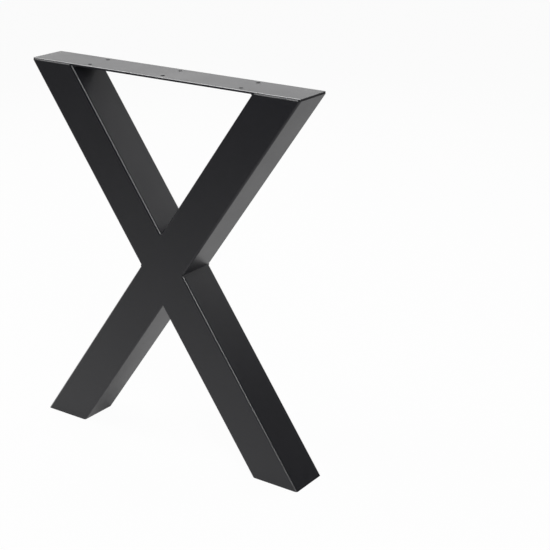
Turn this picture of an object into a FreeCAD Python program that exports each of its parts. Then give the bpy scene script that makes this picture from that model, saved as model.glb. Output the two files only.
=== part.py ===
import FreeCAD, Part
import math
import os
import Sketcher
from FreeCAD import Placement, Rotation, Vector

# Crossed steel table leg
# Three square steel tubes welded into a cross under a flat drilled bar. One tube runs the
# whole way from the upper right corner to the lower left foot. The other diagonal is two
# half tubes, cut to the long tube's sides. Each open foot is closed by a welded plate.
# X runs along the bar, Y across it, Z up. The origin is on the floor, midway between the feet.

doc = FreeCAD.newDocument("CrossedTableLeg")

# Driving dimensions
SIZES = {
    "leg_height": 720,
    "tube_width": 80,
    "tube_depth": 80,
    "tube_wall": 2,
    "tube_corner_radius": 4,
    "bar_length": 600,
    "foot_overhang": 2.5,
    "bar_thickness": 4,
    "bar_setback": 1.5,
    "bar_corner_radius": 3,
    "bar_edge_radius": 0.6,
    "hole_diameter": 8,
    "hole_end_clearance": 32,
    "hole_edge_clearance": 13.5,
    "foot_plate_thickness": 4,
    "crossing_weld_leg": 0.6,
    "inner_weld_leg": 4,
}

sheet = doc.addObject("Spreadsheet::Sheet", "Sizes")
for row, (alias, number) in enumerate(SIZES.items(), start=1):
    sheet.set(f"A{row}", alias)
    sheet.set(f"B{row}", str(number))
    sheet.setAlias(f"B{row}", alias)
doc.recompute()

# Sizes that follow from the driving ones
layout = doc.addObject("App::VarSet", "Layout")


def derive(name, kind, expression):
    layout.addProperty(f"App::Property{kind}", name, "Layout")
    layout.setExpression(name, expression)


derive("seat_height", "Length", "(Sizes.leg_height - Sizes.bar_thickness) * 1 mm")
# Each foot stands a little further out than the bar's end above it
derive("run", "Length", "(Sizes.bar_length + Sizes.foot_overhang) * 1 mm")
# The outer corners of a tube lie at the bar's end and at the foot's outer edge, which
# fixes its slope: run * sin(slope) - seat_height * cos(slope) = tube_width
derive(
    "slope",
    "Angle",
    "atan(seat_height / run) + asin(Sizes.tube_width * 1 mm / sqrt(seat_height ^ 2 + run ^ 2))",
)
derive("cut_width", "Length", "Sizes.tube_width * 1 mm / sin(slope)")
derive(
    "crossing_height",
    "Length",
    "seat_height - (Sizes.bar_length * 1 mm - cut_width) / 2 * tan(slope)",
)
derive("bar_width", "Length", "(Sizes.tube_depth - 2 * Sizes.bar_setback) * 1 mm")
derive("hole_x", "Length", "(Sizes.bar_length / 2 - Sizes.hole_end_clearance) * 1 mm - cut_width")
derive("hole_y", "Length", "bar_width / 2 - Sizes.hole_edge_clearance * 1 mm")
derive("reach", "Length", "Sizes.leg_height * 1 mm + 2 * run")
doc.recompute()


# Sketch helpers
# A size is the text of an expression on the sheet and the layout
def value(size):
    result = layout.evalExpression(size)
    return getattr(result, "Value", result)


def origin_plane(body, role):
    return next(item for item in body.Origin.OriginFeatures if item.Role == role)


def add_sketch(body, name, role, offset=None):
    sketch = body.newObject("Sketcher::SketchObject", name)
    sketch.AttachmentSupport = [(origin_plane(body, role), "")]
    sketch.MapMode = "FlatFace"
    if offset is not None:
        sketch.AttachmentOffset = offset
    return sketch


def line(sketch, start, end):
    return sketch.addGeometry(Part.LineSegment(Vector(*start, 0), Vector(*end, 0)), False)


def bind(sketch, kind, *references, size):
    index = sketch.addConstraint(Sketcher.Constraint(kind, *references, value(size)))
    sketch.setExpression(f"Constraints[{index}]", size)


def add_polygon(sketch, corners):
    # a closed chain of lines; corners are pairs of sizes from the sketch's origin
    points = [(value(x), value(y)) for x, y in corners]
    lines = [line(sketch, a, b) for a, b in zip(points, points[1:] + points[:1])]
    for this, following in zip(lines, lines[1:] + lines[:1]):
        sketch.addConstraint(Sketcher.Constraint("Coincident", this, 2, following, 1))
    for geometry, (x, y) in zip(lines, corners):
        bind(sketch, "DistanceX", -1, 1, geometry, 1, size=x)
        bind(sketch, "DistanceY", -1, 1, geometry, 1, size=y)


def add_rectangle(sketch, low, high):
    (x0, y0), (x1, y1) = low, high
    add_polygon(sketch, [(x0, y0), (x1, y0), (x1, y1), (x0, y1)])


def add_rounded_rectangle(sketch, width, depth, radius):
    # centred on the sketch's origin
    half_w, half_d, r = value(width) / 2, value(depth) / 2, value(radius)
    flat_w, flat_d = half_w - r, half_d - r
    sides = [
        line(sketch, (-flat_w, -half_d), (flat_w, -half_d)),
        line(sketch, (half_w, -flat_d), (half_w, flat_d)),
        line(sketch, (flat_w, half_d), (-flat_w, half_d)),
        line(sketch, (-half_w, flat_d), (-half_w, -flat_d)),
    ]
    centres = [(flat_w, -flat_d), (flat_w, flat_d), (-flat_w, flat_d), (-flat_w, -flat_d)]
    arcs = []
    for quarter, (x, y) in enumerate(centres):
        circle = Part.Circle(Vector(x, y, 0), Vector(0, 0, 1), r)
        start = (quarter - 1) * math.pi / 2
        arc = Part.ArcOfCircle(circle, start, start + math.pi / 2)
        arcs.append(sketch.addGeometry(arc, False))
    for index in range(4):
        sketch.addConstraint(Sketcher.Constraint("Tangent", sides[index], 2, arcs[index], 1))
        sketch.addConstraint(Sketcher.Constraint("Tangent", arcs[index], 2, sides[(index + 1) % 4], 1))
    for index in (0, 2):
        sketch.addConstraint(Sketcher.Constraint("Horizontal", sides[index]))
    for index in (1, 3):
        sketch.addConstraint(Sketcher.Constraint("Vertical", sides[index]))
    for arc in arcs[1:]:
        sketch.addConstraint(Sketcher.Constraint("Equal", arcs[0], arc))
    bind(sketch, "Radius", arcs[0], size=radius)
    bind(sketch, "DistanceY", -1, 1, sides[2], 1, size=f"({depth}) / 2")
    bind(sketch, "DistanceY", sides[0], 1, -1, 1, size=f"({depth}) / 2")
    bind(sketch, "DistanceX", -1, 1, sides[1], 1, size=f"({width}) / 2")
    bind(sketch, "DistanceX", sides[3], 1, -1, 1, size=f"({width}) / 2")


# Feature helpers
def add_pad(body, sketch, length, symmetric=True):
    pad = body.newObject("PartDesign::Pad", f"{sketch.Name}Pad")
    pad.Profile = sketch
    pad.SideType = "Symmetric" if symmetric else "One side"
    pad.setExpression("Length", length)
    sketch.Visibility = False
    return pad


def add_pocket(body, sketch):
    # cuts both ways from the sketch, through everything
    pocket = body.newObject("PartDesign::Pocket", f"{sketch.Name}Pocket")
    pocket.Profile = sketch
    pocket.SideType = "Symmetric"
    pocket.setExpression("Length", "2 * Layout.reach")
    sketch.Visibility = False
    return pocket


def new_body(label):
    body = doc.addObject("PartDesign::Body", label)
    body.Label = label
    return body


SEAT = "Layout.seat_height"
TUBE_WIDTH = "Sizes.tube_width * 1 mm"
TUBE_DEPTH = "Sizes.tube_depth * 1 mm"
TUBE_RADIUS = "Sizes.tube_corner_radius * 1 mm"
BORE_WIDTH = "(Sizes.tube_width - 2 * Sizes.tube_wall) * 1 mm"
BORE_DEPTH = "(Sizes.tube_depth - 2 * Sizes.tube_wall) * 1 mm"
BORE_RADIUS = "max(Sizes.tube_corner_radius - Sizes.tube_wall; 0.5) * 1 mm"
REACH = "Layout.reach"
BACK = "-Layout.reach"
FLOOR = "0 mm"
FOOT_TOP = "Sizes.foot_plate_thickness * 1 mm"


# Tubes
def add_tube_stock(body, leans_right, hollow):
    # an overlong square tube through the crossing, sketched square to its own axis
    tilt = "90 deg - Layout.slope" if leans_right else "Layout.slope - 90 deg"
    centre = Vector(0, 0, layout.crossing_height.Value)
    offset = Placement(centre, Rotation(Vector(0, 1, 0), value(tilt)))
    sketch = add_sketch(body, f"{body.Name}Section", "XY_Plane", offset)
    add_rounded_rectangle(sketch, TUBE_WIDTH, TUBE_DEPTH, TUBE_RADIUS)
    if hollow:
        add_rounded_rectangle(sketch, BORE_WIDTH, BORE_DEPTH, BORE_RADIUS)
    sketch.setExpression(".AttachmentOffset.Base.z", "Layout.crossing_height")
    sketch.setExpression(".AttachmentOffset.Rotation.Angle", tilt)
    add_pad(body, sketch, "Layout.reach")


def cut_level(body, low, high):
    # trims everything below and above two heights
    sketch = add_sketch(body, f"{body.Name}Ends", "XZ_Plane")
    add_rectangle(sketch, (BACK, BACK), (REACH, low))
    add_rectangle(sketch, (BACK, high), (REACH, REACH))
    add_pocket(body, sketch)


def long_tube_frame(body, name):
    # a sketch on the middle plane whose x axis runs up the long tube from the crossing
    centre = Vector(0, layout.crossing_height.Value, 0)
    offset = Placement(centre, Rotation(Vector(0, 0, 1), layout.slope.Value))
    sketch = add_sketch(body, name, "XZ_Plane", offset)
    sketch.setExpression(".AttachmentOffset.Base.y", "Layout.crossing_height")
    sketch.setExpression(".AttachmentOffset.Rotation.Angle", "Layout.slope")
    return sketch


def cut_to_long_tube(body, keep_upper):
    # removes the half of the cross that lies beyond the long tube's side
    sketch = long_tube_frame(body, f"{body.Name}Mitre")
    if keep_upper:
        add_rectangle(sketch, (BACK, BACK), (REACH, "Sizes.tube_width / 2 * 1 mm"))
    else:
        add_rectangle(sketch, (BACK, "-Sizes.tube_width / 2 * 1 mm"), (REACH, REACH))
    add_pocket(body, sketch)


def make_tube(label, leans_right, half=None, hollow=True, low=FOOT_TOP, high=SEAT):
    body = new_body(label)
    add_tube_stock(body, leans_right, hollow)
    if half is not None:
        cut_to_long_tube(body, keep_upper=half == "upper")
    cut_level(body, low, high)
    return body


long_tube = make_tube("long_tube", leans_right=True)
upper_half_tube = make_tube("upper_half_tube", leans_right=False, half="upper")
lower_half_tube = make_tube("lower_half_tube", leans_right=False, half="lower")

# Foot plates, cut to the slope of the tubes they close
left_foot_plate = make_tube("left_foot_plate", leans_right=True, hollow=False, low=FLOOR, high=FOOT_TOP)
right_foot_plate = make_tube("right_foot_plate", leans_right=False, hollow=False, low=FLOOR, high=FOOT_TOP)


# Mounting bar
def outline_edges(shape, height):
    # names of the bar's outer edges at one height, without the rims of its holes
    names = []
    for index, edge in enumerate(shape.Edges, start=1):
        box = edge.BoundBox
        level = abs(box.ZMin - height) < 1e-4 and abs(box.ZMax - height) < 1e-4
        if level and len(edge.Vertexes) == 2:
            names.append(f"Edge{index}")
    return names


def make_mounting_bar():
    body = new_body("mounting_bar")
    sketch = add_sketch(body, "BarOutline", "XY_Plane")
    corner = "Sizes.bar_corner_radius * 1 mm"
    add_rounded_rectangle(sketch, "Sizes.bar_length * 1 mm", "Layout.bar_width", corner)
    sketch.setExpression(".AttachmentOffset.Base.z", "Layout.seat_height")
    pad = add_pad(body, sketch, "Sizes.bar_thickness * 1 mm", symmetric=False)

    holes = add_sketch(body, "BarHoles", "XY_Plane")
    for x_sign in (-1, 0, 1):
        for y_sign in (-1, 1):
            x_size = f"{x_sign} * Layout.hole_x"
            y_size = f"{y_sign} * Layout.hole_y"
            centre = Vector(value(x_size), value(y_size), 0)
            radius = sheet.get("hole_diameter") / 2
            hole = holes.addGeometry(Part.Circle(centre, Vector(0, 0, 1), radius), False)
            bind(holes, "Diameter", hole, size="Sizes.hole_diameter * 1 mm")
            bind(holes, "DistanceX", -1, 1, hole, 3, size=x_size)
            bind(holes, "DistanceY", -1, 1, hole, 3, size=y_size)
    drilled = add_pocket(body, holes)
    doc.recompute()

    # the upper edge is eased all round
    fillet = body.newObject("PartDesign::Fillet", "BarEdges")
    fillet.Base = (drilled, outline_edges(drilled.Shape, sheet.get("leg_height")))
    fillet.setExpression("Radius", "Sizes.bar_edge_radius * 1 mm")
    return body, pad


mounting_bar, bar_blank = make_mounting_bar()


# Welds at the crossing
# A bead runs round each half tube where it stands on the long tube. It is a block over the
# joint, less the two tubes: a fillet in each notch, ground flush on the front and back.
def make_envelope(label, leans_right, half=None):
    body = make_tube(label, leans_right, half=half, hollow=False, low=FLOOR, high=SEAT)
    body.Visibility = False
    return body


long_envelope = make_envelope("long_tube_envelope", leans_right=True)
upper_envelope = make_envelope("upper_half_envelope", leans_right=False, half="upper")
lower_envelope = make_envelope("lower_half_envelope", leans_right=False, half="lower")

# half the width of a half tube's foot on the long tube's side, and how far its middle lies
# from the crossing along that side
derive("joint_half_width", "Length", "Sizes.tube_width * 1 mm / (2 * sin(2 * slope))")
derive("joint_offset", "Length", "Sizes.tube_width * 1 mm / (2 * tan(2 * slope))")
doc.recompute()


def make_crossing_weld(label, half_envelope, side):
    # side is 1 above the long tube and -1 below it, in the long tube's own frame
    block = new_body(f"{label}_block")
    sketch = long_tube_frame(block, f"{label}_outline")
    leg = "Sizes.crossing_weld_leg * 1 mm"
    face = f"{side} * Sizes.tube_width / 2 * 1 mm"
    root = f"{face} - {side} * Sizes.tube_corner_radius * 1 mm"
    # the half tube leans back along the long tube by twice the slope
    toe_height = f"{face} + {side} * {leg} * sin(2 * Layout.slope)"
    toe_shift = f"{-side} * {leg} * cos(2 * Layout.slope)"
    left = f"{-side} * Layout.joint_offset - Layout.joint_half_width"
    right = f"{-side} * Layout.joint_offset + Layout.joint_half_width"
    corners = [
        (f"{left} - {leg}", root),
        (f"{right} + {leg}", root),
        (f"{right} + {leg}", face),
        (f"{right} + {toe_shift}", toe_height),
        (f"{left} + {toe_shift}", toe_height),
        (f"{left} - {leg}", face),
    ]
    add_polygon(sketch, corners)
    add_pad(block, sketch, "Sizes.tube_depth * 1 mm")
    block.Visibility = False

    tubes = doc.addObject("Part::Fuse", f"{label}_tubes")
    tubes.Base = long_envelope
    tubes.Tool = half_envelope
    tubes.Visibility = False
    weld = doc.addObject("Part::Cut", label)
    weld.Label = label
    weld.Base = block
    weld.Tool = tubes
    return weld


upper_crossing_weld = make_crossing_weld("upper_crossing_weld", upper_envelope, side=1)
lower_crossing_weld = make_crossing_weld("lower_crossing_weld", lower_envelope, side=-1)


# Welds under the bar
# The bar stands back from the tubes by its setback, and a bead fills that ledge in front and
# behind. A third bead lies in the sharp corner between the bar and the tube's inner side.
def make_ledge_weld(label, x_sign, y_sign):
    body = new_body(label)
    sketch = add_sketch(body, f"{label}_section", "YZ_Plane")
    outer = f"{y_sign} * Sizes.tube_depth / 2 * 1 mm"
    inner = f"{y_sign} * Layout.bar_width / 2"
    crest = "Layout.seat_height + Sizes.bar_setback * 1 mm"
    add_polygon(sketch, [(outer, SEAT), (inner, SEAT), (inner, crest)])
    add_pad(body, sketch, "Layout.cut_width - 2 * Sizes.tube_corner_radius * 1 mm / sin(Layout.slope)")
    middle = f"{x_sign} * (Sizes.bar_length * 1 mm - Layout.cut_width) / 2"
    body.setExpression(".Placement.Base.x", middle)
    return body


def make_inner_weld(label, x_sign):
    body = new_body(label)
    sketch = add_sketch(body, f"{label}_section", "XZ_Plane")
    leg = "Sizes.inner_weld_leg * 1 mm"
    corner = f"{x_sign} * (Sizes.bar_length / 2 * 1 mm - Layout.cut_width)"
    on_bar = (f"{corner} - {x_sign} * {leg}", SEAT)
    on_tube = (f"{corner} - {x_sign} * {leg} * cos(Layout.slope)", f"{SEAT} - {leg} * sin(Layout.slope)")
    add_polygon(sketch, [(corner, SEAT), on_bar, on_tube])
    add_pad(body, sketch, "(Sizes.tube_depth - 2 * Sizes.tube_corner_radius) * 1 mm")
    return body


bar_welds = []
for side_name, x_sign in (("left", -1), ("right", 1)):
    bar_welds.append(make_ledge_weld(f"{side_name}_front_bar_weld", x_sign, y_sign=-1))
    bar_welds.append(make_ledge_weld(f"{side_name}_rear_bar_weld", x_sign, y_sign=1))
    bar_welds.append(make_inner_weld(f"{side_name}_inner_bar_weld", x_sign))

doc.recompute()

# Checks on the finished document
sub_parts = [
    mounting_bar,
    long_tube,
    upper_half_tube,
    lower_half_tube,
    left_foot_plate,
    right_foot_plate,
    upper_crossing_weld,
    lower_crossing_weld,
    *bar_welds,
]
for item in doc.Objects:
    if "Invalid" in item.State or "Error" in item.State:
        raise RuntimeError(f"{item.Label} did not recompute: {item.State}")
drilled_volume = bar_blank.Shape.Volume - mounting_bar.Shape.Volume
hole_area = math.pi * (sheet.get("hole_diameter") / 2) ** 2
if drilled_volume < 6 * hole_area * sheet.get("bar_thickness") * 0.99:
    raise RuntimeError("the bar's holes were not cut")
for item in sub_parts:
    shape = item.Shape
    if shape.isNull() or not shape.isValid() or len(shape.Solids) != 1:
        raise RuntimeError(f"{item.Label} is not one valid solid")

print(f"slope {layout.slope.Value:.4f} deg, crossing height {layout.crossing_height.Value:.3f} mm")
print(f"holes at x {layout.hole_x.Value:.4f} mm, y {layout.hole_y.Value:.4f} mm")

# One file for each sub-part
os.makedirs("parts", exist_ok=True)
for item in sub_parts:
    item.Shape.exportStep(os.path.join("parts", f"{item.Label}.step"))
    box = item.Shape.optimalBoundingBox()
    print(f"{item.Label}: {item.Shape.Volume:.0f} mm3, z {box.ZMin:.2f} to {box.ZMax:.2f}")
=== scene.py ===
# %% [markdown]
# # A crossed steel table leg
# The leg is three square steel tubes welded into a cross under a flat drilled bar, with one
# black powder coat over everything. This lesson loads the measured model, rebuilds the tubes
# with smooth rounded corners, lays the weld beads, mixes the coat and sets the studio.

# %% Load the measured model
import math
import random

import bmesh
import bpy
from mathutils import Matrix, Vector


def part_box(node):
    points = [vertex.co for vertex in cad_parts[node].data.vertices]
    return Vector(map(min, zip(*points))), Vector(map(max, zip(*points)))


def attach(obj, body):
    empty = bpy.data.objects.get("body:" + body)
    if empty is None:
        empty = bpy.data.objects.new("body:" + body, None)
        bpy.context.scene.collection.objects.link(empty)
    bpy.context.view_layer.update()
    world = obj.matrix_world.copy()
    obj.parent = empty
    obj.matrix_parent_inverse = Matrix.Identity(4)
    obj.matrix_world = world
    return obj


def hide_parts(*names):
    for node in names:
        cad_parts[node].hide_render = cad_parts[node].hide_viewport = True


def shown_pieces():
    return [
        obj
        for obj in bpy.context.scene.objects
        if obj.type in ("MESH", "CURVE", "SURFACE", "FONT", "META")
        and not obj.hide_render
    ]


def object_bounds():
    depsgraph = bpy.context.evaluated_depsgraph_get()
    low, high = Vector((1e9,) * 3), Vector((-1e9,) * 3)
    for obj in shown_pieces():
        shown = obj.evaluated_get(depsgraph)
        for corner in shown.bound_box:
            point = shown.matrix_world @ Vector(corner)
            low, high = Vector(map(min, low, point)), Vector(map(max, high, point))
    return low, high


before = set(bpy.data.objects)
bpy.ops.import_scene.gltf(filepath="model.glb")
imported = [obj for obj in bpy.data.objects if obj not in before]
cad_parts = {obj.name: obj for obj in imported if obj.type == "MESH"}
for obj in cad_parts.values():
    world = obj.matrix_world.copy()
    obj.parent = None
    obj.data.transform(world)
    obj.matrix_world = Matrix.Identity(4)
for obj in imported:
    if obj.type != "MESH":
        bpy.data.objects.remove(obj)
cad_low, cad_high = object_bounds()
print("nodes:", len(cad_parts), "height in metres:", round(cad_high.z, 4))

# %% [markdown]
# ## Where the tubes run
# Every tube starts under the bar with its outer corner at the bar's end, and lands with its
# outer corner at the foot's outer edge. Those two corners and the tube's width fix the slope,
# so it is worked out here from the model's own boxes instead of being typed in. The tube is
# 80 mm square with a 2 mm wall, and its long corners are rolled round.

# %% Slope and crossing
TUBE = 0.080
WALL = 0.002
CORNER = 0.004

bar_low, bar_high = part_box("mounting_bar")
foot_low, foot_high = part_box("left_foot_plate")
seat = bar_low.z
foot_top = foot_high.z
run = bar_high.x - foot_low.x
slope = math.atan(seat / run) + math.asin(TUBE / math.hypot(seat, run))
cut_width = TUBE / math.sin(slope)
crossing = Vector((0, 0, seat - (bar_high.x - cut_width / 2) * math.tan(slope)))
print("slope in degrees:", round(math.degrees(slope), 2), "crossing height:", round(crossing.z, 4))

# %% [markdown]
# Two directions are enough to place everything on a sloping tube: the way up it, and the way
# its upper side faces. Both lean right or left, by one sign.


# %% Directions of a tube
def along_tube(lean):
    # the way up a tube; lean is 1 for the tube that rises to the right, -1 for the other
    return Vector((lean * math.cos(slope), 0, math.sin(slope)))


def square_to_tube(lean):
    # the tube's upper side, square to its length
    return Vector((-lean * math.sin(slope), 0, math.cos(slope)))


print("long tube runs along:", [round(part, 3) for part in along_tube(1)])

# %% [markdown]
# ## From a mesh in the making to a piece
# A piece is finished the same way each time: its faces are turned outwards, flat sides stay
# flat while rounded corners shade smoothly, it rides on the root body, and the measured nodes
# it stands for are hidden. Smooth shading alone would bend the light across the flat sides, so
# weighted normals give the large faces the say.

# %% Finish a piece
SHARP_ANGLE = math.radians(35)


def finish_piece(name, bm, stands_for=()):
    bmesh.ops.recalc_face_normals(bm, faces=bm.faces[:])
    mesh = bpy.data.meshes.new(name)
    bm.to_mesh(mesh)
    bm.free()
    mesh.shade_smooth()
    mesh.set_sharp_from_angle(angle=SHARP_ANGLE)
    piece = bpy.data.objects.new(name, mesh)
    bpy.context.scene.collection.objects.link(piece)
    weighted = piece.modifiers.new("flat sides stay flat", "WEIGHTED_NORMAL")
    weighted.keep_sharp = True
    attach(piece, "root")
    if stands_for:
        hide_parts(*stands_for)
    return piece


# %% [markdown]
# ## The tubes
# Square tube is rolled with small rounded corners. A square face with its four corners
# bevelled round gives the section, an inset gives the wall, and one extrusion gives an
# overlong tube. Planes then saw it to length, as a mitre saw does. A cube with bevelled edges
# would look alike from outside, but it would be solid, and its slanting ends hard to place.

# %% Roll a length of tube
CORNER_STEPS = 8
STOCK = 0.7


def tube_stock(lean, hollow):
    bm = bmesh.new()
    bmesh.ops.create_grid(bm, x_segments=1, y_segments=1, size=TUBE / 2)
    bmesh.ops.bevel(
        bm,
        geom=bm.verts[:],
        offset=CORNER,
        offset_type="OFFSET",
        affect="VERTICES",
        segments=CORNER_STEPS,
        profile=0.5,
        material=-1,
    )
    if hollow:
        bmesh.ops.inset_region(
            bm, faces=bm.faces[:], thickness=WALL, use_boundary=True, use_even_offset=True
        )
        middle = max(bm.faces, key=lambda face: len(face.verts))
        bmesh.ops.delete(bm, geom=[middle], context="FACES_ONLY")
    grown = bmesh.ops.extrude_face_region(bm, geom=bm.faces[:])
    tops = [item for item in grown["geom"] if isinstance(item, bmesh.types.BMVert)]
    bmesh.ops.translate(bm, verts=tops, vec=(0, 0, 2 * STOCK))
    bmesh.ops.translate(bm, verts=bm.verts[:], vec=(0, 0, -STOCK))
    tilt = Matrix.Rotation(lean * (math.pi / 2 - slope), 4, "Y")
    bmesh.ops.transform(bm, matrix=Matrix.Translation(crossing) @ tilt, verts=bm.verts[:])
    return bm


# %% [markdown]
# A saw cut through a hollow tube leaves two outlines, one inside the other, which are bridged
# into a ring. A cut through solid stock leaves one outline, which is filled. The other tube of
# the cross is sawn once more, along the long tube's side, so that it stops there.


# %% Saw a tube to length
def saw(bm, point, outward):
    # cuts off what lies beyond the plane, and closes the cut
    everything = bm.verts[:] + bm.edges[:] + bm.faces[:]
    cut = bmesh.ops.bisect_plane(
        bm, geom=everything, plane_co=point, plane_no=outward, clear_outer=True
    )
    rim = [item for item in cut["geom_cut"] if isinstance(item, bmesh.types.BMEdge)]
    loops = {vert for edge in rim for vert in edge.verts}
    if len(loops) > 4 * (CORNER_STEPS + 1):
        bmesh.ops.bridge_loops(bm, edges=rim)
    else:
        bmesh.ops.contextual_create(bm, geom=rim)


def make_tube(name, lean, low, high, half=0, hollow=True):
    bm = tube_stock(lean, hollow)
    if half:
        side = square_to_tube(1) * half
        saw(bm, crossing + side * TUBE / 2, -side)
    saw(bm, Vector((0, 0, high)), Vector((0, 0, 1)))
    saw(bm, Vector((0, 0, low)), Vector((0, 0, -1)))
    piece = finish_piece(f"{name}_coated", bm, stands_for=[name])
    print(piece.name, "faces:", len(piece.data.polygons))
    return piece


# %% [markdown]
# One diagonal is a single long tube, and the other is two halves that meet it from above and
# below. Thin plates close the feet. They have the tube's own rounded outline, so they are
# sawn from solid stock of the same section.

# %% Saw the three tubes and the two foot plates
make_tube("long_tube", 1, foot_top, seat)
make_tube("upper_half_tube", -1, foot_top, seat, half=1)
make_tube("lower_half_tube", -1, foot_top, seat, half=-1)
make_tube("left_foot_plate", 1, 0, foot_top, hollow=False)
make_tube("right_foot_plate", -1, 0, foot_top, hollow=False)

# %% [markdown]
# ## Weld beads
# Under the coat a bead still shows its ripples: each is the edge of one small puddle of
# metal. A bump in the coat could suggest them, but as real shape they show in the outline
# too. A bead starts as a four-cornered section, from the root in the corner to a toe on each
# plate and a slightly raised crown, which is rounded.

# %% Section of a bead
CROWN_ROUNDING = 0.3
CROWN_STEPS = 5


def bead_section(root, toe_a, toe_b, crown):
    middle = (toe_a + toe_b) / 2
    crest = middle + (middle - root).normalized() * crown
    bm = bmesh.new()
    corners = [bm.verts.new(point) for point in (root, toe_a, crest, toe_b)]
    bm.faces.new(corners)
    bmesh.ops.bevel(
        bm,
        geom=[corners[2]],
        offset=(toe_a - toe_b).length * CROWN_ROUNDING,
        offset_type="OFFSET",
        affect="VERTICES",
        segments=CROWN_STEPS,
        profile=0.5,
        material=-1,
    )
    return bm


# %% [markdown]
# The section is pushed along the joint in short steps, and each step swells or shrinks it a
# little about the root. A steady wave would look like a screw thread, so its steps are a
# little uneven. The last step is smaller, where the welder lets go of the joint.

# %% Lay a bead
RIPPLE_PITCH = 0.0021
STEPS_PER_RIPPLE = 4
UNEVEN_STEP = (0.85, 1.15)
LAST_STEP_SIZE = 0.8
rng = random.Random(7)


def lay_bead(name, root, toe_a, toe_b, travel, crown, swing, stands_for=()):
    # root and toes are points of the first section; travel leads to the last one
    bm = bead_section(root, toe_a, toe_b, crown)
    face = next(iter(bm.faces))
    steps = round(travel.length / RIPPLE_PITCH * STEPS_PER_RIPPLE)
    size = 1.0
    phase = 0.0
    for step in range(1, steps + 1):
        grown = bmesh.ops.extrude_face_region(bm, geom=[face])
        face = next(item for item in grown["geom"] if isinstance(item, bmesh.types.BMFace))
        phase += 2 * math.pi / STEPS_PER_RIPPLE * rng.uniform(*UNEVEN_STEP)
        wanted = LAST_STEP_SIZE if step == steps else 1 + swing * math.sin(phase)
        verts = face.verts[:]
        bmesh.ops.translate(bm, verts=verts, vec=travel / steps)
        here = root + travel * step / steps
        grow = Matrix.Scale(wanted / size, 4)
        bmesh.ops.transform(bm, matrix=grow, space=Matrix.Translation(-here), verts=verts)
        size = wanted
    piece = finish_piece(name, bm, stands_for)
    print(name, "ripples:", round(travel.length / RIPPLE_PITCH))
    return piece


# %% [markdown]
# The welds at the crossing are ground flush, so they stay as measured. Under the bar there is
# a bead on the narrow ledge in front and behind, and one in the sharp corner between the bar
# and the inner side of each tube. The ledge's beads are as wide as the ledge and a little
# taller, and all beads stop where the tube's corners turn round.

# %% Beads under the bar
INNER_LEG = 0.004
LEDGE_RISE = 1.3
through = Vector((0, TUBE - 2 * CORNER, 0))
ledge = TUBE / 2 - bar_high.y
ledge_run = Vector((cut_width - 2 * CORNER / math.sin(slope), 0, 0))

for place, way in (("left", -1), ("right", 1)):
    middle_x = way * (bar_high.x - cut_width / 2)
    for side_name, side in (("front", -1), ("rear", 1)):
        root = Vector((middle_x, side * bar_high.y, seat)) - ledge_run / 2
        lay_bead(
            f"{place}_{side_name}_ledge_bead",
            root,
            root + Vector((0, side * ledge, 0)),
            root + Vector((0, 0, ledge * LEDGE_RISE)),
            ledge_run,
            crown=0.0001,
            swing=0.06,
            stands_for=[f"{place}_{side_name}_bar_weld"],
        )
    root = Vector((way * (bar_high.x - cut_width), 0, seat)) - through / 2
    lay_bead(
        f"{place}_inner_corner_bead",
        root,
        root + Vector((-way * INNER_LEG, 0, 0)),
        root - along_tube(way) * INNER_LEG,
        through,
        crown=0.0003,
        swing=0.07,
        stands_for=[f"{place}_inner_bar_weld"],
    )

# %% [markdown]
# ## Powder coat
# The coat is a black plastic film baked on from powder. It is matte, with a very fine grain
# where the grains melted together, and slow changes in gloss from its thickness. It draws thin
# on sharp edges, and is polished on rounded ones. All of that could be wired again in every
# material, but then a change to one would be missed in the others. So each effect is a node
# group, which the tubes, the bar and the beads share. A few helpers keep the wiring short.


# %% Node helpers
def new_group(name, inputs, outputs):
    group = bpy.data.node_groups.new(name, "ShaderNodeTree")
    for socket, default in inputs:
        made = group.interface.new_socket(
            socket, in_out="INPUT", socket_type="NodeSocketFloat"
        )
        made.default_value = default
    for socket, kind in outputs:
        group.interface.new_socket(socket, in_out="OUTPUT", socket_type=kind)
    start = group.nodes.new("NodeGroupInput")
    end = group.nodes.new("NodeGroupOutput")
    return group, start, end


def add(tree, kind, **settings):
    node = tree.nodes.new(kind)
    for key, value in settings.items():
        setattr(node, key, value)
    return node


def feed(tree, value, socket):
    # another node's output is joined to the socket, and a plain value is typed in
    if isinstance(value, bpy.types.NodeSocket):
        tree.links.new(value, socket)
    else:
        socket.default_value = value


def place_group(tree, group, **values):
    node = add(tree, "ShaderNodeGroup", node_tree=group)
    for key, value in values.items():
        node.inputs[key].default_value = value
    return node


# %% [markdown]
# Masks are built from the same few steps again and again: a sum of two values, a ramp from
# one value to another, a blend of two values, and a place on the object taken apart into its
# three axes.


# %% Steps for masks
def calculate(tree, operation, first, second, kind="ShaderNodeMath"):
    node = add(tree, kind, operation=operation)
    feed(tree, first, node.inputs[0])
    feed(tree, second, node.inputs[1])
    return node.outputs["Value"]


def ramp(tree, value, start, end, low=0.0, high=1.0, kind="LINEAR"):
    # gives low at start and high at end, and keeps them beyond
    node = add(tree, "ShaderNodeMapRange", interpolation_type=kind)
    feed(tree, value, node.inputs["Value"])
    feed(tree, start, node.inputs["From Min"])
    feed(tree, end, node.inputs["From Max"])
    feed(tree, low, node.inputs["To Min"])
    feed(tree, high, node.inputs["To Max"])
    return node.outputs["Result"]


def blend(tree, kind, share, first, second):
    node = add(tree, "ShaderNodeMix", data_type=kind)
    feed(tree, share, node.inputs["Factor"])
    feed(tree, first, node.inputs["A"])
    feed(tree, second, node.inputs["B"])
    return node.outputs["Result"]


def object_place(tree):
    return add(tree, "ShaderNodeTexCoord").outputs["Object"]


def split(tree, vector):
    axes = add(tree, "ShaderNodeSeparateXYZ")
    feed(tree, vector, axes.inputs["Vector"])
    return axes.outputs["X"], axes.outputs["Y"], axes.outputs["Z"]


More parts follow.
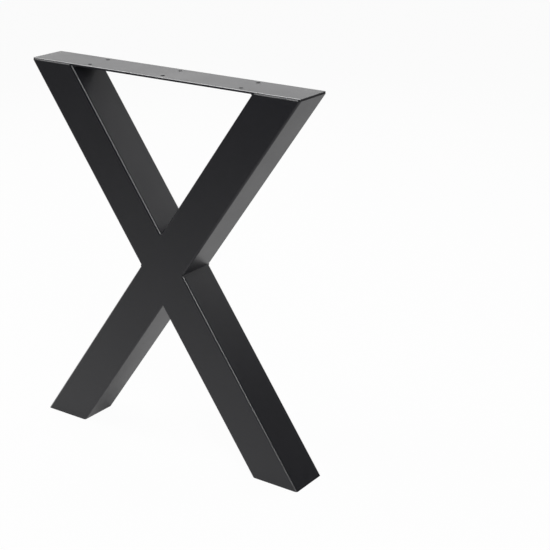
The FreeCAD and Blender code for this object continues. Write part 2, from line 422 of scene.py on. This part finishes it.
# %% [markdown]
# The grain is about a millimetre across, and the clouds of thicker and thinner coat are about
# a hand wide. A picture could be wrapped round the tubes for them, but noise on Object
# coordinates needs no unwrapping, never repeats and keeps its real size on every piece.

# %% Grain of the coat
GRAIN_SIZE = 900.0
GRAIN_DETAIL = 2.0
GRAIN_ROUGHNESS = 0.55
CLOUD_SIZE = 9.0
CLOUD_DETAIL = 4.0


def make_grain_group():
    group, start, end = new_group(
        "coat grain",
        [("Size", GRAIN_SIZE), ("Cloud size", CLOUD_SIZE)],
        [("Height", "NodeSocketFloat"), ("Cloud", "NodeSocketFloat")],
    )
    place = object_place(group)
    fine = add(group, "ShaderNodeTexNoise")
    feed(group, place, fine.inputs["Vector"])
    feed(group, start.outputs["Size"], fine.inputs["Scale"])
    feed(group, GRAIN_DETAIL, fine.inputs["Detail"])
    feed(group, GRAIN_ROUGHNESS, fine.inputs["Roughness"])
    feed(group, fine.outputs["Fac"], end.inputs["Height"])
    cloud = add(group, "ShaderNodeTexNoise")
    feed(group, place, cloud.inputs["Vector"])
    feed(group, start.outputs["Cloud size"], cloud.inputs["Scale"])
    feed(group, CLOUD_DETAIL, cloud.inputs["Detail"])
    feed(group, cloud.outputs["Fac"], end.inputs["Cloud"])
    return group


grain_group = make_grain_group()
print("group:", grain_group.name)

# %% [markdown]
# Edges could be picked out one by one, but the normals find them all: an edge is where a
# rounded copy of the surface's normal turns away from the plain one. The crossing is ground
# flush before it is coated, so around it the effect fades out.

# %% Thin coat and a faint painted highlight on the edges
THIN_RADIUS = 0.0012
THIN_STRENGTH = 0.6
FULL_EDGE = 0.85
BEVEL_SAMPLES = 8
FLUSH_RADIUS = 0.062
FLUSH_FADE = 0.02


def make_edge_group():
    group, start, end = new_group(
        "thin edges",
        [("Radius", THIN_RADIUS), ("Strength", THIN_STRENGTH)],
        [("Edge", "NodeSocketFloat")],
    )
    rounded = add(group, "ShaderNodeBevel", samples=BEVEL_SAMPLES)
    feed(group, start.outputs["Radius"], rounded.inputs["Radius"])
    plain = add(group, "ShaderNodeNewGeometry")
    vectors = "ShaderNodeVectorMath"
    normals = rounded.outputs["Normal"], plain.outputs["Normal"]
    turn = ramp(group, calculate(group, "DOT_PRODUCT", *normals, vectors), 1.0, FULL_EDGE)
    apart = calculate(group, "DISTANCE", object_place(group), crossing, vectors)
    away = ramp(group, apart, FLUSH_RADIUS, FLUSH_RADIUS + FLUSH_FADE)
    edge = calculate(group, "MULTIPLY", turn, away)
    feed(group, calculate(group, "MULTIPLY", edge, start.outputs["Strength"]), end.inputs["Edge"])
    return group


edge_group = make_edge_group()
print("group:", edge_group.name)

# %% [markdown]
# A painted highlight runs along the bar's two long upper edges: the colour there is near
# white. The band is a millimetre wide, so it is measured from the edge itself: a point's depth
# is folded onto one side, and its distance from the edge's line is taken. Only there does the
# surface also shade as if it were rounded, and the bar's lower edges stay crisp.

# %% Painted highlight on the bar's upper edges
HIGHLIGHT_BAND_WIDTH = 0.0010
HIGHLIGHT_BAND_FADE = 0.0008
HIGHLIGHT_BAND_ROUNDING = 0.0016


def make_edge_highlight_group():
    group, start, end = new_group(
        "painted edge highlight",
        [("Rounding", HIGHLIGHT_BAND_ROUNDING)],
        [("Edge", "NodeSocketFloat"), ("Normal", "NodeSocketVector")],
    )
    _, depth, height = split(group, object_place(group))
    folded = add(group, "ShaderNodeCombineXYZ")
    feed(group, calculate(group, "ABSOLUTE", depth, 0.0), folded.inputs["Y"])
    feed(group, height, folded.inputs["Z"])
    edge_line = (0.0, bar_high.y, bar_high.z)
    apart = calculate(
        group, "DISTANCE", folded.outputs["Vector"], edge_line, "ShaderNodeVectorMath"
    )
    # the band that gets the painted highlight colour
    painted_highlight = ramp(group, apart, HIGHLIGHT_BAND_WIDTH, HIGHLIGHT_BAND_WIDTH - HIGHLIGHT_BAND_FADE)
    rounded = add(group, "ShaderNodeBevel", samples=BEVEL_SAMPLES)
    feed(group, start.outputs["Rounding"], rounded.inputs["Radius"])
    plain = add(group, "ShaderNodeNewGeometry")
    normals = plain.outputs["Normal"], rounded.outputs["Normal"]
    feed(group, painted_highlight, end.inputs["Edge"])
    feed(group, blend(group, "VECTOR", painted_highlight, *normals), end.inputs["Normal"])
    return group


edge_highlight_group = make_edge_highlight_group()
print("group:", edge_highlight_group.name)

# %% [markdown]
# The long corners of the tubes are rolled round, and hands and cloths polish the coat there,
# on the corners that turn upwards. A tube's sides face either along the depth or square to it,
# so its round corners are where the normal's part along the depth is neither one nor nothing.
# Its square, times what the square lacks of one, is a quarter of one at most, so eight times
# that is a full mask over the middle of the corner.

# %% Polished round corners
FULL_CORNER = 8.0
UPWARD = 0.1


def make_corner_group():
    group, start, end = new_group(
        "rolled corners", [("Strength", 1.0)], [("Corner", "NodeSocketFloat")]
    )
    shape = add(group, "ShaderNodeNewGeometry")
    _, depth, height = split(group, shape.outputs["Normal"])
    squared = calculate(group, "POWER", depth, 2.0)
    rest = calculate(group, "SUBTRACT", 1.0, squared)
    peak = calculate(group, "MULTIPLY", calculate(group, "MULTIPLY", squared, rest), FULL_CORNER)
    strong = calculate(group, "MULTIPLY", peak, start.outputs["Strength"])
    upward = ramp(group, height, 0.0, UPWARD)
    corner = calculate(group, "MULTIPLY", calculate(group, "MINIMUM", strong, 1.0), upward)
    feed(group, corner, end.inputs["Corner"])
    return group


corner_group = make_corner_group()
print("group:", corner_group.name)

# %% [markdown]
# The colour is nearly black and drifts a little with the clouds. On thin edges it is a shade
# lighter, from the thin coat there and as a faint painted highlight. Along the bar's upper
# edges a near-white painted highlight is laid into the colour. Gloss drifts with the same
# clouds, and where the coat is polished it is smoother and its grain is flatter.

# %% Colour, gloss and grain
COAT_DARK = (0.0082, 0.0082, 0.0112, 1)
COAT_LIGHT = (0.0104, 0.0104, 0.0136, 1)
# thin coat on sharp edges, a shade lighter, which also serves as a faint painted highlight
THIN_EDGE_AND_HIGHLIGHT_TONE = (0.022, 0.022, 0.025, 1)
# painted highlight: a near-white colour on the bar's upper edges stands in for the light caught
# there
PAINTED_EDGE_HIGHLIGHT = (0.76, 0.76, 0.77, 1)
COAT_IOR = 1.50
GLOSSY = 0.36
MATTE = 0.46
POLISHED = 0.30
GRAIN_LEFT = 0.15


def colour_coat(tree, shader, cloud, worn, worn_colour):
    tone = blend(tree, "RGBA", cloud, COAT_DARK, COAT_LIGHT)
    feed(tree, blend(tree, "RGBA", worn, tone, worn_colour), shader.inputs["Base Color"])


def gloss_coat(tree, shader, cloud, polished):
    gloss = ramp(tree, cloud, 0.0, 1.0, GLOSSY, MATTE)
    feed(tree, blend(tree, "FLOAT", polished, gloss, POLISHED), shader.inputs["Roughness"])


def grain_coat(tree, shader, grain, polished, grain_depth):
    left = ramp(tree, polished, 0.0, 1.0, 1.0, GRAIN_LEFT)
    bump = add(tree, "ShaderNodeBump")
    feed(tree, calculate(tree, "MULTIPLY", grain, left), bump.inputs["Height"])
    feed(tree, grain_depth, bump.inputs["Distance"])
    feed(tree, bump.outputs["Normal"], shader.inputs["Normal"])
    return bump


# %% [markdown]
# One function mixes every coat, so that all stay the same black. Rolled corners also get a
# clear layer on top, which draws a bright line along them. The bar has no rolled corners, and
# takes its painted edge highlight and that band's rounded normal instead.


# %% Mix the coats
def make_coat(name, grain_depth, rolled=1.0, painted_highlight=False):
    coat = bpy.data.materials.new(name)
    coat.use_nodes = True
    tree = coat.node_tree
    shader = tree.nodes["Principled BSDF"]
    feed(tree, COAT_IOR, shader.inputs["IOR"])
    grain = place_group(tree, grain_group, **{"Size": GRAIN_SIZE, "Cloud size": CLOUD_SIZE})
    if painted_highlight:
        edges = place_group(tree, edge_highlight_group, Rounding=HIGHLIGHT_BAND_ROUNDING)
        edge = polished = edges.outputs["Edge"]
    else:
        edges = place_group(tree, edge_group, Radius=THIN_RADIUS, Strength=THIN_STRENGTH)
        edge = edges.outputs["Edge"]
        corner = place_group(tree, corner_group, Strength=rolled).outputs["Corner"]
        polished = calculate(tree, "MAXIMUM", corner, edge)
        feed(tree, corner, shader.inputs["Coat Weight"])
        feed(tree, POLISHED, shader.inputs["Coat Roughness"])
    # the bar's edges get the painted highlight colour; other edges get a thin-coat tone that is
    # also a faint painted highlight
    colour_coat(tree, shader, grain.outputs["Cloud"], edge, PAINTED_EDGE_HIGHLIGHT if painted_highlight else THIN_EDGE_AND_HIGHLIGHT_TONE)
    gloss_coat(tree, shader, grain.outputs["Cloud"], polished)
    bump = grain_coat(tree, shader, grain.outputs["Height"], polished, grain_depth)
    if painted_highlight:
        feed(tree, edges.outputs["Normal"], bump.inputs["Normal"])
    print("coat:", name, "nodes:", len(tree.nodes))
    return coat


tube_coat = make_coat("black_powder_coat", grain_depth=0.00004)
bar_coat = make_coat("black_powder_coat_on_bar", grain_depth=0.00004, painted_highlight=True)
bead_coat = make_coat("black_powder_coat_on_beads", grain_depth=0.00006)

# %% [markdown]
# The pieces made here and the measured ones that stay, such as the bar, are coated alike. The
# coat is chosen by name, so nothing is missed, and the beads get the one with coarser grain.

# %% Coat every piece
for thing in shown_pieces():
    finish = tube_coat
    if thing.name.endswith("_bead") or thing.name.endswith("_weld"):
        finish = bead_coat
    elif thing.name == "mounting_bar":
        finish = bar_coat
    thing.data.materials.clear()
    thing.data.materials.append(finish)

# %% [markdown]
# ## Floor, light and camera
# The leg stands on a white floor that runs far back behind it. The camera sees the floor as
# nearly plain white, with a faint shadow. The coat's reflections see that white too, but not
# everywhere: it fades out in front, where the room is dim and the floor is painted greyer as
# shade, and far to the right, it is dimmer far to the left, and it is dulled between the feet,
# as a painted shadow of the leg. White mirrored everywhere would turn the black coat grey. The
# front is the camera's side, so it is measured along one slanting direction.

# %% White in the floor's mirror image
MIRRORED_WHITE = 0.97
DIM_SIDE = (0.447, -0.894, 0.0)
FADE_START = 0.05
FADE_END = 1.0
FADE_POWER = 2
RIGHT_START = 0.7
RIGHT_END = 1.2
LEFT_START = -0.4
LEFT_END = -0.8
LEFT_SHARE = 0.45
# painted shadow: the mirrored white is dulled between the feet for the leg's shade
SHADE_CENTRE = 0.05
SHADE_REACH = 0.15
SHADE_SHARE = 0.15


def forward_distance(tree, place):
    return calculate(tree, "DOT_PRODUCT", place, DIM_SIDE, "ShaderNodeVectorMath")


def mirrored_white(tree):
    soft = "SMOOTHSTEP"
    place = object_place(tree)
    across, depth, _ = split(tree, place)
    front = ramp(tree, forward_distance(tree, place), FADE_START, FADE_END, 1, 0)
    white = calculate(tree, "POWER", front, FADE_POWER)
    right = ramp(tree, across, RIGHT_START, RIGHT_END, MIRRORED_WHITE, 0, soft)
    left = ramp(tree, across, LEFT_START, LEFT_END, 1, LEFT_SHARE, soft)
    from_feet = calculate(tree, "SUBTRACT", depth, SHADE_CENTRE)
    from_feet = calculate(tree, "ABSOLUTE", from_feet, 0)
    shade = ramp(tree, from_feet, 0, SHADE_REACH, SHADE_SHARE, 1, soft)
    for share in (right, left, shade):
        white = calculate(tree, "MULTIPLY", white, share)
    return white


# %% [markdown]
# The white is a plain glow that only some rays meet: those straight from the camera, and those
# that a shiny or clear surface sends on. Every other ray meets the painted floor, so the glow
# lights nothing. More light on the floor would whiten it too, but it would also light the leg.

# %% White for some rays only
SEEN_WHITE = 0.96


def show_white(tree, base):
    path = add(tree, "ShaderNodeLightPath")
    seen = calculate(tree, "MULTIPLY", path.outputs["Is Camera Ray"], SEEN_WHITE)
    mirror_or_glass = path.outputs["Is Glossy Ray"], path.outputs["Is Transmission Ray"]
    sent_on = calculate(tree, "MAXIMUM", *mirror_or_glass)
    mirrored = calculate(tree, "MULTIPLY", sent_on, mirrored_white(tree))
    white = add(tree, "ShaderNodeEmission")
    mixed = add(tree, "ShaderNodeMixShader")
    feed(tree, calculate(tree, "MAXIMUM", seen, mirrored), mixed.inputs["Fac"])
    feed(tree, base, mixed.inputs[1])
    feed(tree, white.outputs["Emission"], mixed.inputs[2])
    feed(tree, mixed.outputs["Shader"], tree.nodes["Material Output"].inputs["Surface"])


# %% [markdown]
# The floor is one flat square, far wider than the view, so that its edge is never near. Under
# the glow its paint is matte, pale near the leg and greyer in front, which is painted shade for
# the dim light on that side. It isn't part of the leg.

# %% Lay the floor
FLOOR_HALF = 12.0
FLOOR_ROUGHNESS = 0.9
PALE = 0.86
FRONT_SHADE_GREY = 0.25
FRONT_SHADE_START = 0.5
FRONT_SHADE_END = 1.6

bm = bmesh.new()
bmesh.ops.create_grid(bm, x_segments=1, y_segments=1, size=FLOOR_HALF)
floor_mesh = bpy.data.meshes.new("floor")
bm.to_mesh(floor_mesh)
bm.free()
floor = bpy.data.objects.new("floor", floor_mesh)
bpy.context.scene.collection.objects.link(floor)

floor_paint = bpy.data.materials.new("white_floor")
floor_paint.use_nodes = True
floor_tree = floor_paint.node_tree
paint = floor_tree.nodes["Principled BSDF"]
feed(floor_tree, FLOOR_ROUGHNESS, paint.inputs["Roughness"])
forward = forward_distance(floor_tree, object_place(floor_tree))
# painted shade: the floor turns grey in front, for the dim light on that side
grey = ramp(floor_tree, forward, FRONT_SHADE_START, FRONT_SHADE_END, PALE, FRONT_SHADE_GREY, "SMOOTHSTEP")
feed(floor_tree, grey, paint.inputs["Base Color"])
show_white(floor_tree, paint.outputs["BSDF"])
floor_mesh.materials.append(floor_paint)
print("floor nodes:", len(floor_tree.nodes))

# %% [markdown]
# The room itself is dim, so that black looks black: an even white room would show in every
# face of the coat. It is brightest straight behind the leg and falls to a little all round.
# The camera sees plain white beyond the floor's far edge.

# %% Dim room
ROOM_BEHIND = 0.12
ROOM_ALL_ROUND = 0.02
BEHIND = (0, 1, 0)

world = bpy.data.worlds.new("dim room")
bpy.context.scene.world = world
world.use_nodes = True
sky = world.node_tree
background = sky.nodes["Background"]
feed(sky, (1, 1, 1, 1), background.inputs["Color"])
look = add(sky, "ShaderNodeTexCoord").outputs["Generated"]
facing = calculate(sky, "DOT_PRODUCT", look, BEHIND, "ShaderNodeVectorMath")
dim = ramp(sky, facing, 0.0, 1.0, ROOM_ALL_ROUND, ROOM_BEHIND)
path = add(sky, "ShaderNodeLightPath")
straight = path.outputs["Is Camera Ray"], path.outputs["Is Transmission Ray"]
seen = calculate(sky, "MAXIMUM", *straight)
feed(sky, blend(sky, "FLOAT", seen, dim, SEEN_WHITE), background.inputs["Strength"])
print("world:", world.name, "nodes:", len(sky.nodes))

# %% [markdown]
# On black only the lamps' mirror images count, so each lamp hangs where one kind of face
# mirrors it. The bar's top mirrors the wide lamp at the back left, and the sides that turn up
# to the right mirror the one at the back right. The overhead lamp in front draws the line on
# the bar's front edge, on top of the painted highlight there, and on the bead under it, and the
# tall strip draws the lines on the round corners. The overhead lamp behind lifts the inner
# sides and the leg's back a little.


# %% Lamps
def add_lamp(name, place, width, height, power):
    light = bpy.data.lights.new(name, "AREA")
    light.shape = "RECTANGLE"
    light.size = width
    light.size_y = height
    light.energy = power
    lamp = bpy.data.objects.new(name, light)
    lamp.location = place
    lamp.rotation_mode = "QUATERNION"
    middle = Vector((0, 0, cad_high.z / 2))
    lamp.rotation_quaternion = (middle - Vector(place)).to_track_quat("-Z", "Y")
    bpy.context.scene.collection.objects.link(lamp)
    print("lamp:", name, "watts:", power)


add_lamp("overhead in front", (-1.1, -0.4, 2.4), width=1.4, height=0.9, power=28)
add_lamp("overhead behind", (-0.5, 1.2, 2.6), width=1.8, height=1.8, power=12)
add_lamp("left behind", (-1.7, 2.05, 1.55), width=2.2, height=1.1, power=15.4)
add_lamp("right behind", (0.8, 1.7, 1.4), width=0.9, height=0.9, power=4.8)
add_lamp("strip in front", (1.4, -1.3, 1.6), width=0.35, height=2.0, power=28)

# %% [markdown]
# The camera's angles, distance and lens were found by matching the leg's corners in the
# photograph. The photograph's optical centre is a little off its middle, which two small lens
# shifts follow.

# %% Camera
AZIMUTH = math.radians(35.52)
ELEVATION = math.radians(18.81)
DISTANCE = 2.4053
AIM = Vector((0.1992, -0.040, 0.4587))
FOCAL_PIXELS = 1390.7
CENTRE_PIXEL = (250, 240)
IMAGE = 550
SENSOR = 36

back = Vector((
    math.sin(AZIMUTH) * math.cos(ELEVATION),
    -math.cos(AZIMUTH) * math.cos(ELEVATION),
    math.sin(ELEVATION),
))
lens = bpy.data.cameras.new("camera")
lens.sensor_width = SENSOR
lens.lens = FOCAL_PIXELS * SENSOR / IMAGE
lens.shift_x = (IMAGE / 2 - CENTRE_PIXEL[0]) / IMAGE
lens.shift_y = (CENTRE_PIXEL[1] - IMAGE / 2) / IMAGE
camera = bpy.data.objects.new("camera", lens)
camera.location = AIM + back * DISTANCE
camera.rotation_mode = "QUATERNION"
camera.rotation_quaternion = (-back).to_track_quat("-Z", "Y")
bpy.context.scene.collection.objects.link(camera)
bpy.context.scene.camera = camera
bpy.context.scene.view_settings.view_transform = "Standard"
print("lens in millimetres:", round(lens.lens, 1))
